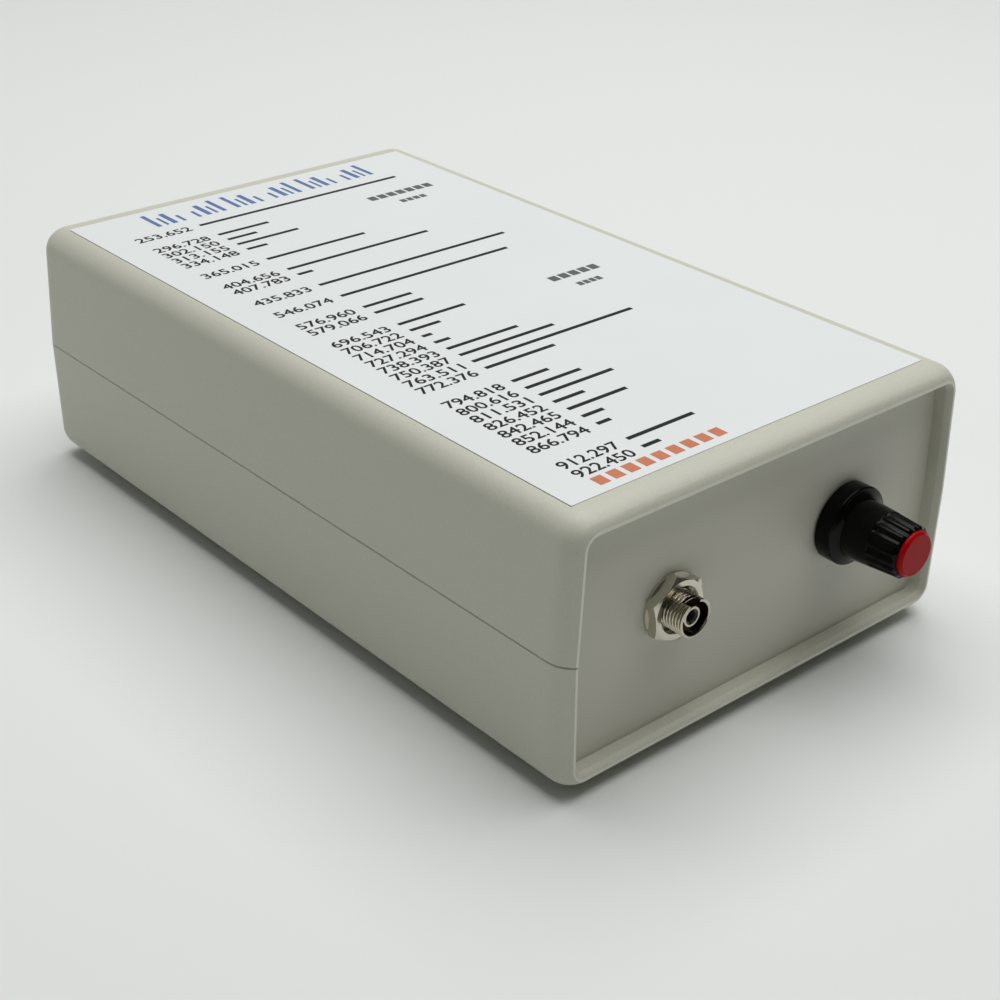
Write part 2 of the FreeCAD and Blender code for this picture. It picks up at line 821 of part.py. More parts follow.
def transformer_core():
    core = block(core_size.x, core_size.y, core_size.z, core_x, core_y, board_z)
    window = (core_size.x - 2 * core_limb - core_centre_limb) / 2
    offset = core_centre_limb / 2 + window / 2
    cuts = [block(window, core_size.y + 2 * overlap, core_size.z - 2 * core_limb, core_x + side * offset,
                  core_y, board_z + core_limb) for side in (-1, 1)]
    return one_solid(core.cut(cuts))


def transformer_coil():
    window = (core_size.x - 2 * core_limb - core_centre_limb) / 2
    width = core_centre_limb + 2 * (window - coil_clearance)
    height = core_size.z - 2 * core_limb - 2 * coil_clearance
    low = board_z + core_limb + coil_clearance
    length = core_size.y + 2 * coil_overhang
    coil = plate(width, length, height, 3.0, core_x, core_y, low)
    limb = block(core_centre_limb + 2 * coil_clearance, core_size.y + 2 * coil_clearance,
                 height + 2 * overlap, core_x, core_y, low - overlap)
    return one_solid(coil.cut(limb))


def ballast_capacitor():
    return plate(ballast_size.x, ballast_size.y, ballast_size.z, 1.0, ballast_x, ballast_y, board_z)


def smoothing_capacitors():
    """Two cans with the rolled groove near the foot."""
    cans = []
    for y in smoothing_ys:
        can = cylinder_z(smoothing_radius, smoothing_height, smoothing_x, y, board_z)
        groove = Part.makeTorus(smoothing_radius + 0.3, 0.7, Vec(smoothing_x, y, board_z + 2.5), Z_AXIS)
        cans.append(one_solid(can.cut(groove)))
    return Part.makeCompound(cans)


def heat_sink():
    """Plate with fins that point to the rear of the case."""
    body = block(sink_width, sink_plate, sink_height, sink_x, sink_y, board_z)
    step = (sink_width - sink_fin_thickness) / (sink_fin_count - 1)
    first = sink_x - (sink_width - sink_fin_thickness) / 2
    root = sink_y + sink_plate / 2 - 0.1
    fins = [block(sink_fin_thickness, sink_fin_length + 0.1, sink_height, first + k * step,
                  root + (sink_fin_length + 0.1) / 2, board_z) for k in range(sink_fin_count)]
    return one_solid(body.fuse(fins))


def power_transistor():
    """Tab flat against the heat sink, moulded body in front of it, three legs down to the board."""
    back = sink_y - sink_plate / 2
    low = board_z + transistor_lift
    tab = block(transistor_width, transistor_tab, transistor_tab_height, sink_x,
                back - transistor_tab / 2, low)
    body_y = back - transistor_tab - transistor_body.y / 2
    body = block(transistor_body.x, transistor_body.y, transistor_body.z, sink_x, body_y, low)
    legs = [block(leg_width, leg_width, transistor_lift, sink_x + k * 2.54, body_y, board_z)
            for k in (-1, 0, 1)]
    return one_solid(tab.fuse([body] + legs))


def inlet_body():
    bore_end = inlet_flange_thickness - inlet_bore_depth
    back = -(panel_thickness + inlet_depth)
    pin_hole = inlet_pin_radius + inlet_pin_clearance
    root = bore_end - inlet_pin_root
    return turned([(back, 0), (back, inlet_radius), (0, inlet_radius), (0, inlet_flange_radius),
                   (inlet_flange_thickness - 0.4, inlet_flange_radius),
                   (inlet_flange_thickness, inlet_flange_radius - 0.4),
                   (inlet_flange_thickness, inlet_bore_radius), (bore_end, inlet_bore_radius),
                   (bore_end, pin_hole), (root, pin_hole), (root, 0)], inlet_x, inlet_z, panel_y, 1)


def inlet_pin():
    root = inlet_flange_thickness - inlet_bore_depth - inlet_pin_root
    tip = inlet_flange_thickness - inlet_pin_setback
    return turned([(root, 0), (root, inlet_pin_radius), (tip - 0.4, inlet_pin_radius),
                   (tip, inlet_pin_radius - 0.4), (tip, 0)], inlet_x, inlet_z, panel_y, 1)


def inlet_washer():
    return ring(inlet_washer_radius, inlet_radius + inlet_hole_clearance, inlet_washer_thickness,
                inlet_x, inlet_z, panel_back_y - inlet_washer_thickness)


def inlet_nut():
    y = panel_back_y - inlet_washer_thickness - inlet_nut_thickness
    nut = hexagon(inlet_nut_flats, inlet_nut_thickness, 0, inlet_x, inlet_z, y)
    return one_solid(nut.cut(cylinder_y(inlet_radius + hex_bore_clearance,
                                        inlet_nut_thickness + 2 * overlap, inlet_x, y - overlap, inlet_z)))


def inlet_back_y():
    return panel_back_y - inlet_depth


def inlet_lugs():
    y = inlet_back_y() - inlet_lug_length / 2
    lugs = [block(inlet_lug_width, inlet_lug_length, lug_thickness, inlet_x + side * inlet_lug_pitch / 2,
                  y, inlet_z - lug_thickness / 2) for side in (-1, 1)]
    return Part.makeCompound(lugs)


def bent_wire(points, radius, bend):
    """Round wire along straight runs joined by arcs."""
    edges = []
    start = points[0]
    for i in range(1, len(points) - 1):
        here = points[i]
        to_before = (points[i - 1] - here).normalize()
        to_after = (points[i + 1] - here).normalize()
        half_angle = to_before.getAngle(to_after) / 2
        reach = bend / math.tan(half_angle)
        first = here + to_before * reach
        last = here + to_after * reach
        middle = here + (to_before + to_after).normalize() * (bend / math.sin(half_angle) - bend)
        edges.append(Part.makeLine(start, first))
        edges.append(Part.Arc(first, middle, last).toShape())
        start = last
    edges.append(Part.makeLine(start, points[-1]))
    path = Part.Wire(edges)
    profile = Part.Wire(Part.makeCircle(radius, points[0], points[1] - points[0]))
    return path.makePipeShell([profile], True, False)


def lamp_leads():
    """Two wires from the tube's cap over the board and down into their header."""
    leads = []
    start_x = lamp_cap_end()
    for side in (-1, 1):
        y = tube_y() - side * lamp_lead_pitch / 2
        x = lamp_header_x + 6.0 + side * lamp_lead_pitch / 2
        points = [Vec(start_x, y, adaptor_z), Vec(x, y, adaptor_z), Vec(x, -header_y - 9.0, adaptor_z),
                  Vec(lamp_header_x + side * lamp_lead_pitch / 2, -header_y, board_z + header_height + 7.0),
                  Vec(lamp_header_x + side * lamp_lead_pitch / 2, -header_y, board_z + header_height)]
        leads.append(bent_wire(points, lamp_lead_radius, lead_bend))
    return Part.makeCompound(leads)


def lamp_cap_end():
    tube_end = adaptor_x - block_width / 2 + tube_tip_inset + tube_length
    return tube_end + 2.0


def header_entry_z():
    return board_z + header_height / 2


def control_leads():
    leads = []
    lug_y = can_back_y() - 1.0 - terminal_thickness - lug_thickness / 2
    for k in (-1, 0, 1):
        x = knob_x + k * lug_pitch
        points = [Vec(x, lug_y, knob_z - lug_drop), Vec(x, lug_y, header_entry_z() - 3.0),
                  Vec(control_header_x + k * lead_pitch, -header_y - header_length / 2 - 8.0, header_entry_z()),
                  Vec(control_header_x + k * lead_pitch, -header_y - header_length / 2, header_entry_z())]
        leads.append(bent_wire(points, lead_radius, lead_bend / 2))
    return Part.makeCompound(leads)


def inlet_leads():
    leads = []
    for side in (-1, 1):
        x = inlet_x + side * inlet_lug_pitch / 2
        end_x = inlet_header_x + side * lead_pitch / 2
        start_y = inlet_back_y() - inlet_lug_length
        points = [Vec(x, start_y, inlet_z), Vec(x, start_y - 9.0, inlet_z),
                  Vec(end_x, header_y + header_length / 2 + 8.0, header_entry_z()),
                  Vec(end_x, header_y + header_length / 2, header_entry_z())]
        leads.append(bent_wire(points, lead_radius, lead_bend))
    return Part.makeCompound(leads)


def main():
    os.makedirs("parts", exist_ok=True)
    save("top_shell", top_shell())
    save("bottom_shell", bottom_shell())
    save("front_panel", front_panel())
    save("rear_panel", rear_panel())
    save("rubber_feet", rubber_feet())
    save("case_screws", case_screws())
    save("label", label())
    save("printed_bars", printed_bars())
    save("printed_heading", printed_heading())
    save("printed_footer", printed_footer())
    save("adaptor_body", adaptor_body())
    save("adaptor_sleeve", adaptor_sleeve())
    save("adaptor_washer", adaptor_washer())
    save("adaptor_nut", adaptor_nut())
    save("knob", knob())
    save("knob_cap", knob_cap())
    save("control_shaft", control_shaft())
    save("control_bush", control_bush())
    save("control_can", control_can())
    save("control_terminals", control_terminals())
    save("control_lugs", control_lugs())
    save("control_washer", control_washer())
    save("control_nut", control_nut())
    save("lamp_block", lamp_block())
    save("lamp_block_lid", lamp_block_lid())
    save("lamp_screws", lamp_screws())
    save("lamp_tube", lamp_tube())
    save("lamp_cap", lamp_cap())
    save("driver_board", driver_board())
    save("board_screws", board_screws())
    save("board_headers", board_headers())
    save("transformer_core", transformer_core())
    save("transformer_coil", transformer_coil())
    save("ballast_capacitor", ballast_capacitor())
    save("smoothing_capacitors", smoothing_capacitors())
    save("heat_sink", heat_sink())
    save("power_transistor", power_transistor())
    save("inlet_body", inlet_body())
    save("inlet_pin", inlet_pin())
    save("inlet_washer", inlet_washer())
    save("inlet_nut", inlet_nut())
    save("inlet_lugs", inlet_lugs())
    save("lamp_leads", lamp_leads())
    save("control_leads", control_leads())
    save("inlet_leads", inlet_leads())


main()
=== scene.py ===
"""Looks of a mercury-argon calibration lamp: a moulded bench case with a printed lid label,
a threaded fibre adaptor and a fluted knob. Metres, in the same frame as the solids."""

import logging
from dataclasses import dataclass, field
from enum import Enum

import bmesh
import bpy
import numpy as np
from mathutils import Matrix, Vector

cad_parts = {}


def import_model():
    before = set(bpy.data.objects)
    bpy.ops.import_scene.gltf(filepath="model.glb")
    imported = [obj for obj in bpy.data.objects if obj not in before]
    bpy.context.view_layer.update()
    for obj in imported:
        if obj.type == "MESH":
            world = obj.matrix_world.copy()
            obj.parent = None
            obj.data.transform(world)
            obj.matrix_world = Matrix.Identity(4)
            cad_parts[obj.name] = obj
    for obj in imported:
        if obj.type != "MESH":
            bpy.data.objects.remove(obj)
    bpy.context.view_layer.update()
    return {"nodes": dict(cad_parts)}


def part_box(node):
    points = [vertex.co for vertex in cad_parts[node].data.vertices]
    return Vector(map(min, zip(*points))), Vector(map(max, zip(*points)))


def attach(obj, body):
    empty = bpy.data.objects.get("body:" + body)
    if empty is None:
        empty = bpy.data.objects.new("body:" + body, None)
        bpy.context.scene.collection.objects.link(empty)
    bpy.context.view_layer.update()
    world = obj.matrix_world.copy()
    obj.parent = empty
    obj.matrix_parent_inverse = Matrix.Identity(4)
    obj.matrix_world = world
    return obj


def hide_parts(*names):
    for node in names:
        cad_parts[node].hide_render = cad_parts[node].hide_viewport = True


LOG = logging.getLogger("lamp")
MM = 0.001
CASE_Y = 7.45 * MM  # the case's middle in the frame: the knob stands out further than the rear
HALF_LENGTH = 92.8 * MM  # of the case
LAND_BAND = 0.02 * MM  # how near the end plane a point counts as on the end faces
ROLL_BAND = 1.3 * MM  # the last of the case's length, where its surface rolls over to the end faces
ROLL_DEPTH = 0.28 * MM  # how far it would drop over that band
COARSE_SCALE = 0.37  # cells of the moulding texture's second noise, against the first
COARSE_SHARE = 0.45  # of the second noise in the texture's height
DRIFT_SCALE = 14.0  # cells per metre of the slow drift of tone
DRIFT_SHARE = 0.2  # of the drift in the texture's tone
CLOUD_SCALE = 0.08  # cells of the satin's tone, against those of its height
STAIN_SCALE = 300.0  # cells per metre of the stains on turned metal
STAIN_SHARE = 0.6  # of the stains in turned metal's tone
RING_SQUASH = 0.02  # how little turned metal's rings change across the axis
Colour = tuple[float, float, float]


class Grain(Enum):
    """Kinds of surface relief that a finish may carry."""

    SPARK = "spark"  # fine pitted moulding texture
    SATIN = "satin"  # faint soft unevenness
    TURNED = "turned"  # rings left by a lathe, about the Y axis
    WOVEN = "woven"  # glass cloth under lacquer


class Body(Enum):
    """The two rigid bodies of the solids."""

    CASE = "case"
    KNOB = "knob"


def srgb(red: float, green: float, blue: float) -> Colour:
    """Linear colour of 8-bit display values.

    Args:
        red: Red, 0 to 255.
        green: Green, 0 to 255.
        blue: Blue, 0 to 255.

    Returns:
        The linear colour, 0 to 1.
    """
    value = np.array([red, green, blue], float) / 255.0
    linear = np.where(value <= 0.04045, value / 12.92, ((value + 0.055) / 1.055) ** 2.4)
    return (float(linear[0]), float(linear[1]), float(linear[2]))


# Shader node groups


def new_group(name: str, inputs: dict[str, float], outputs: dict[str, str]) -> bpy.types.NodeTree:
    """An empty shader group with a Vector input, float inputs and named outputs.

    Args:
        name: The group's name.
        inputs: Float inputs and their default values.
        outputs: Output names and their socket types.

    Returns:
        The node group, with its two interface nodes in place.
    """
    tree = bpy.data.node_groups.new(name, "ShaderNodeTree")
    tree.interface.new_socket("Vector", in_out="INPUT", socket_type="NodeSocketVector")
    for label, value in inputs.items():
        socket = tree.interface.new_socket(label, in_out="INPUT", socket_type="NodeSocketFloat")
        socket.default_value = value
    for label, kind in outputs.items():
        tree.interface.new_socket(label, in_out="OUTPUT", socket_type=kind)
    tree.nodes.new("NodeGroupInput").name = "In"
    tree.nodes.new("NodeGroupOutput").name = "Out"
    return tree


def math_node(tree: bpy.types.NodeTree, operation: str, *values: object) -> bpy.types.NodeSocket:
    """A Math node fed by sockets or numbers.

    Args:
        tree: The tree to add to.
        operation: The Math node's operation.
        values: Its inputs, each a socket or a number.

    Returns:
        The node's output socket.
    """
    node = tree.nodes.new("ShaderNodeMath")
    node.operation = operation
    for i, value in enumerate(values):
        if isinstance(value, bpy.types.NodeSocket):
            tree.links.new(value, node.inputs[i])
        else:
            node.inputs[i].default_value = value
    return node.outputs[0]


def noise_node(
    tree: bpy.types.NodeTree, vector: bpy.types.NodeSocket, scale: object, detail: float = 2.0
) -> bpy.types.NodeSocket:
    """A noise pattern.

    Args:
        tree: The tree to add to.
        vector: Where the pattern is read.
        scale: Cells per metre, a number or a socket.
        detail: Octaves.

    Returns:
        The noise value socket, 0 to 1.
    """
    node = tree.nodes.new("ShaderNodeTexNoise")
    node.inputs["Detail"].default_value = detail
    tree.links.new(vector, node.inputs["Vector"])
    if isinstance(scale, bpy.types.NodeSocket):
        tree.links.new(scale, node.inputs["Scale"])
    else:
        node.inputs["Scale"].default_value = scale
    return node.outputs["Fac"]


def blend(
    tree: bpy.types.NodeTree, one: bpy.types.NodeSocket, other: bpy.types.NodeSocket, share: float
) -> bpy.types.NodeSocket:
    """Weighted sum of two patterns.

    Args:
        tree: The tree to add to.
        one: The first pattern.
        other: The second pattern.
        share: Weight of the first, 0 to 1; the second has the rest.

    Returns:
        The sum's socket.
    """
    rest = math_node(tree, "MULTIPLY", other, 1 - share)
    return math_node(tree, "MULTIPLY_ADD", one, share, rest)


class NodeLibrary:
    """The shader groups that the finishes share, each built once."""

    def __init__(self) -> None:
        """Starts with no groups."""
        self._made: dict[str, bpy.types.NodeTree] = {}

    def get(self, grain: Grain) -> bpy.types.NodeTree:
        """The group that makes one kind of relief, built on first use.

        Args:
            grain: The kind of relief.

        Returns:
            Group with input Scale and outputs Height and Tone.
        """
        if grain.value not in self._made:
            makers = {
                Grain.SPARK: self._spark,
                Grain.SATIN: self._satin,
                Grain.TURNED: self._turned,
                Grain.WOVEN: self._woven,
            }
            self._made[grain.value] = makers[grain]()
        return self._made[grain.value]

    def end_land(self) -> bpy.types.NodeTree:
        """The two ends of the case, from the place along Y alone.

        Returns:
            Group with outputs Mask, 1 on the flat end faces, and Roll, which falls from 1 to 0 as
            the square of the way into the last ROLL_BAND before an end.
        """
        if "end_land" not in self._made:
            tree = new_group(
                "EndLand",
                {"Half Length": HALF_LENGTH},
                {"Mask": "NodeSocketFloat", "Roll": "NodeSocketFloat"},
            )
            source, sink = tree.nodes["In"], tree.nodes["Out"]
            split = tree.nodes.new("ShaderNodeSeparateXYZ")
            tree.links.new(source.outputs["Vector"], split.inputs[0])
            half = source.outputs["Half Length"]
            away = math_node(tree, "ABSOLUTE", math_node(tree, "SUBTRACT", split.outputs["Y"], CASE_Y))
            mask = math_node(tree, "GREATER_THAN", math_node(tree, "ADD", away, LAND_BAND), half)
            tree.links.new(mask, sink.inputs["Mask"])
            left = math_node(tree, "SUBTRACT", half, away)
            way = math_node(tree, "SUBTRACT", 1.0, math_node(tree, "DIVIDE", left, ROLL_BAND))
            way = math_node(tree, "MINIMUM", math_node(tree, "MAXIMUM", way, 0.0), 1.0)
            roll = math_node(tree, "SUBTRACT", 1.0, math_node(tree, "MULTIPLY", way, way))
            tree.links.new(roll, sink.inputs["Roll"])
            self._made["end_land"] = tree
        return self._made["end_land"]

    def _spark(self) -> bpy.types.NodeTree:
        """Moulding texture: two noises of different cell size summed, and a slow drift of tone.

        Returns:
            Group with outputs Height and Tone, both 0 to 1.
        """
        tree = new_group(
            "MouldTexture",
            {"Scale": 2200.0},
            {"Height": "NodeSocketFloat", "Tone": "NodeSocketFloat"},
        )
        source, sink = tree.nodes["In"], tree.nodes["Out"]
        vector, scale = source.outputs["Vector"], source.outputs["Scale"]
        fine = noise_node(tree, vector, scale, 3.0)
        coarse = noise_node(tree, vector, math_node(tree, "MULTIPLY", scale, COARSE_SCALE), 1.0)
        drift = noise_node(tree, vector, DRIFT_SCALE, 1.0)
        height = blend(tree, coarse, fine, COARSE_SHARE)
        tone = blend(tree, drift, fine, DRIFT_SHARE)
        tree.links.new(height, sink.inputs["Height"])
        tree.links.new(tone, sink.inputs["Tone"])
        return tree

    def _satin(self) -> bpy.types.NodeTree:
        """Soft unevenness: one low noise for height, one lower for tone.

        Returns:
            Group with outputs Height and Tone, both 0 to 1.
        """
        tree = new_group(
            "SatinSurface",
            {"Scale": 700.0},
            {"Height": "NodeSocketFloat", "Tone": "NodeSocketFloat"},
        )
        source, sink = tree.nodes["In"], tree.nodes["Out"]
        vector, scale = source.outputs["Vector"], source.outputs["Scale"]
        tree.links.new(noise_node(tree, vector, scale, 2.0), sink.inputs["Height"])
        tone = noise_node(tree, vector, math_node(tree, "MULTIPLY", scale, CLOUD_SCALE), 1.0)
        tree.links.new(tone, sink.inputs["Tone"])
        return tree

    def _turned(self) -> bpy.types.NodeTree:
        """Lathe rings: noise of the place along Y only, so each ring is even all the way round.

        Returns:
            Group with outputs Height and Tone, both 0 to 1.
        """
        tree = new_group(
            "LatheRings",
            {"Scale": 5000.0},
            {"Height": "NodeSocketFloat", "Tone": "NodeSocketFloat"},
        )
        source, sink = tree.nodes["In"], tree.nodes["Out"]
        vector, scale = source.outputs["Vector"], source.outputs["Scale"]
        flat = tree.nodes.new("ShaderNodeVectorMath")
        flat.operation = "MULTIPLY"
        flat.inputs[1].default_value = (RING_SQUASH, 1.0, RING_SQUASH)
        tree.links.new(vector, flat.inputs[0])
        rings = noise_node(tree, flat.outputs[0], scale, 2.0)
        stain = noise_node(tree, vector, STAIN_SCALE, 2.0)
        tree.links.new(rings, sink.inputs["Height"])
        tree.links.new(blend(tree, stain, rings, STAIN_SHARE), sink.inputs["Tone"])
        return tree

    def _woven(self) -> bpy.types.NodeTree:
        """Glass cloth: the product of two sine waves along X and Y.

        Returns:
            Group with outputs Height and Tone, both 0 to 1.
        """
        tree = new_group(
            "GlassCloth",
            {"Scale": 6000.0},
            {"Height": "NodeSocketFloat", "Tone": "NodeSocketFloat"},
        )
        source, sink = tree.nodes["In"], tree.nodes["Out"]
        split = tree.nodes.new("ShaderNodeSeparateXYZ")
        tree.links.new(source.outputs["Vector"], split.inputs[0])
        waves = []
        for axis in (0, 1):
            phase = math_node(tree, "MULTIPLY", split.outputs[axis], source.outputs["Scale"])
            waves.append(math_node(tree, "SINE", phase))
        product = math_node(tree, "MULTIPLY", waves[0], waves[1])
        height = math_node(tree, "MULTIPLY_ADD", product, 0.5, 0.5)
        tree.links.new(height, sink.inputs["Height"])
        tree.links.new(height, sink.inputs["Tone"])
        return tree


@dataclass(frozen=True)
class Finish:
    """One surface finish, dressed from a shared relief group.

    The colour runs from `colour` times (1 - spread) to `colour` times (1 + spread) with the
    group's Tone, the roughness drifts by `rough_drift` with it, and Height drives a bump of
    `depth` metres. With a rim colour the finish is the case's own: its end faces take that
    lighter colour, a painted highlight, and a second bump rolls the surface over towards them.
    """

    name: str
    colour: Colour
    roughness: float
    grain: Grain = Grain.SATIN
    scale: float = 900.0
    depth: float = 4e-6
    spread: float = 0.03
    rough_drift: float = 0.06
    metallic: float = 0.0
    specular: float = 0.5
    transmission: float = 0.0
    rim_painted_highlight: Colour | None = None

    def build(self, library: NodeLibrary) -> bpy.types.Material:
        """Makes the material.

        Args:
            library: Where the shared relief groups come from.

        Returns:
            The Blender material.
        """
        material = bpy.data.materials.new(self.name)
        material.use_nodes = True
        tree = material.node_tree
        shader = tree.nodes["Principled BSDF"]
        shader.inputs["Metallic"].default_value = self.metallic
        shader.inputs["Specular IOR Level"].default_value = self.specular
        shader.inputs["Transmission Weight"].default_value = self.transmission
        place = tree.nodes.new("ShaderNodeTexCoord")
        relief = tree.nodes.new("ShaderNodeGroup")
        relief.node_tree = library.get(self.grain)
        relief.inputs["Scale"].default_value = self.scale
        tree.links.new(place.outputs["Object"], relief.inputs["Vector"])
        mix = tree.nodes.new("ShaderNodeMix")
        mix.data_type = "RGBA"
        low = tuple(c * (1 - self.spread) for c in self.colour) + (1.0,)
        high = tuple(min(1.0, c * (1 + self.spread)) for c in self.colour) + (1.0,)
        mix.inputs["A"].default_value = low
        mix.inputs["B"].default_value = high
        tree.links.new(relief.outputs["Tone"], mix.inputs["Factor"])
        tone = mix.outputs["Result"]
        bump = tree.nodes.new("ShaderNodeBump")
        if self.rim_painted_highlight is not None:
            land = tree.nodes.new("ShaderNodeGroup")
            land.node_tree = library.end_land()
            tree.links.new(place.outputs["Object"], land.inputs["Vector"])
            # the case's end faces get a lighter colour: a painted highlight
            tone = self._paint_rim_highlight(tree, land, tone)
            roll = tree.nodes.new("ShaderNodeBump")
            roll.inputs["Distance"].default_value = ROLL_DEPTH
            tree.links.new(land.outputs["Roll"], roll.inputs["Height"])
            tree.links.new(roll.outputs["Normal"], bump.inputs["Normal"])
        tree.links.new(tone, shader.inputs["Base Color"])
        rough = math_node(
            tree,
            "MULTIPLY_ADD",
            relief.outputs["Tone"],
            self.rough_drift,
            self.roughness - self.rough_drift / 2,
        )
        tree.links.new(rough, shader.inputs["Roughness"])
        bump.inputs["Strength"].default_value = 1.0
        bump.inputs["Distance"].default_value = self.depth
        tree.links.new(relief.outputs["Height"], bump.inputs["Height"])
        tree.links.new(bump.outputs["Normal"], shader.inputs["Normal"])
        return material

    def _paint_rim_highlight(
        self, tree: bpy.types.NodeTree, land: bpy.types.Node, tone: bpy.types.NodeSocket
    ) -> bpy.types.NodeSocket:
        """Lays a painted highlight, the lighter rim colour, over the land round the end openings.

        Args:
            tree: The material's tree.
            land: The group node whose Mask is 1 on the land.
            tone: The colour everywhere else.

        Returns:
            The colour with the painted highlight laid over the land.
        """
        mix = tree.nodes.new("ShaderNodeMix")
        mix.data_type = "RGBA"
        tree.links.new(land.outputs["Mask"], mix.inputs["Factor"])
        tree.links.new(tone, mix.inputs["A"])
        # lighter colour on the end faces: a painted highlight for the light the land catches
        mix.inputs["B"].default_value = self.rim_painted_highlight + (1.0,)
        return mix.outputs["Result"]


# Meshes worked out with numpy


def mesh_object(name: str, points: np.ndarray, faces: list, smooth: bool = True) -> bpy.types.Object:
    """A mesh object at the origin.

    Args:
        name: The piece's name.
        points: Vertices, one row each, in metres.
        faces: Vertex indices of each face.
        smooth: Whether faces are shaded smooth.

    Returns:
        The object, linked to the scene.
    """
    mesh = bpy.data.meshes.new(name)
    mesh.from_pydata(np.asarray(points, float).reshape(-1, 3).tolist(), [], faces)
    mesh.validate()
    if smooth:
        mesh.shade_smooth()
    piece = bpy.data.objects.new(name, mesh)
    bpy.context.scene.collection.objects.link(piece)
    return piece


def closed_grid_faces(rows: int, columns: int) -> list[list[int]]:
    """Quads of a grid that closes on itself both ways, like a ring.

    Args:
        rows: Points along the profile.
        columns: Points round the axis.

    Returns:
        Vertex indices of each quad.
    """
    i, j = np.meshgrid(np.arange(rows), np.arange(columns), indexing="ij")
    down, right = (i + 1) % rows, (j + 1) % columns
    quads = np.stack([i * columns + j, down * columns + j, down * columns + right, i * columns + right], -1)
    return quads.reshape(-1, 4).tolist()


def point_outwards(piece: bpy.types.Object) -> None:
    """Turns the faces of a closed mesh to point outwards.

    Args:
        piece: The mesh object.
    """
    mesh = bmesh.new()
    mesh.from_mesh(piece.data)
    bmesh.ops.recalc_face_normals(mesh, faces=mesh.faces)
    mesh.to_mesh(piece.data)
    mesh.free()


def sharpen(piece: bpy.types.Object, degrees: float) -> None:
    """Breaks smooth shading at edges sharper than the angle."""
    piece.data.set_sharp_from_angle(angle=float(np.radians(degrees)))


@dataclass
class Wardrobe:
    """Builds finishes once and puts them on pieces."""

    library: NodeLibrary = field(default_factory=NodeLibrary)
    made: dict[str, bpy.types.Material] = field(default_factory=dict)

    def material(self, finish: Finish) -> bpy.types.Material:
        """The material of a finish, built on first use."""
        if finish.name not in self.made:
            self.made[finish.name] = finish.build(self.library)
        return self.made[finish.name]

    def dress(self, piece: bpy.types.Object, finish: Finish) -> None:
        """Puts one finish on the whole of a piece.

        Args:
            piece: The piece.
            finish: What it is to look like.
        """
        material = self.material(finish)
        if piece.material_slots:
            for slot in piece.material_slots:
                slot.material = material
        else:
            piece.data.materials.append(material)


# the case's plastic; its end faces get a lighter rim colour, a painted highlight for the light the land round
# the openings catches
CASE = Finish(
    "case_plastic", srgb(202, 202, 187), 0.46, Grain.SPARK, 2600.0, 4.5e-5, 0.12, 0.08,
    rim_painted_highlight=srgb(228, 228, 214),
)
PANEL = Finish("panel_plastic", srgb(200, 199, 185), 0.5, Grain.SPARK, 2300.0, 1.4e-5, 0.05, 0.06)
LABEL = Finish("label_film", srgb(232, 236, 235), 0.42, Grain.SATIN, 500.0, 3e-6, 0.012, 0.05)
BLACK_INK = Finish("black_ink", srgb(11, 13, 13), 0.42, Grain.SATIN, 2500.0, 2e-6, 0.25, 0.1, specular=0.3)
GREY_INK = Finish("grey_ink", srgb(92, 96, 96), 0.45, Grain.SATIN, 2500.0, 2e-6, 0.15, 0.1)
BLUE_INK = Finish("blue_ink", srgb(88, 116, 170), 0.42, Grain.SATIN, 2500.0, 2e-6, 0.15, 0.1)
ORANGE_INK = Finish("orange_ink", srgb(208, 124, 90), 0.42, Grain.SATIN, 2500.0, 2e-6, 0.12, 0.1)
NICKEL = Finish(
    "nickel", (0.60, 0.575, 0.49), 0.2, Grain.TURNED, 9000.0, 3e-6, 0.12, 0.12, metallic=1.0
)
# a darker, browner nickel than that of the washer and nut, for the threaded body
DARKER_NICKEL = Finish(
    "darker_nickel", (0.52, 0.485, 0.40), 0.17, Grain.TURNED, 9000.0, 4e-6, 0.15, 0.12, metallic=1.0
)
ZINC = Finish("zinc", (0.55, 0.55, 0.54), 0.34, Grain.SATIN, 1500.0, 3e-6, 0.1, 0.12, metallic=1.0)
TINNED = Finish("tinned", (0.62, 0.62, 0.61), 0.3, Grain.SATIN, 1200.0, 3e-6, 0.08, 0.1, metallic=1.0)
MILLED = Finish("milled", (0.66, 0.67, 0.68), 0.35, Grain.TURNED, 3000.0, 4e-6, 0.08, 0.12, metallic=1.0)
ANODISED = Finish("anodised", (0.03, 0.03, 0.032), 0.4, Grain.SATIN, 2500.0, 3e-6, 0.2, 0.1, metallic=0.6)
KNOB_BLACK = Finish(
    "knob_black", (0.0015, 0.0015, 0.0015), 0.15, Grain.SATIN, 900.0, 2e-6, 0.3, 0.05, specular=0.12
)
CAP_RED = Finish("cap_red", (0.36, 0.002, 0.005), 0.32, Grain.SATIN, 900.0, 3e-6, 0.08, 0.06, specular=0.09)
RUBBER = Finish("foot_rubber", (0.018, 0.018, 0.018), 0.75, Grain.SPARK, 3000.0, 2e-5, 0.2, 0.1)
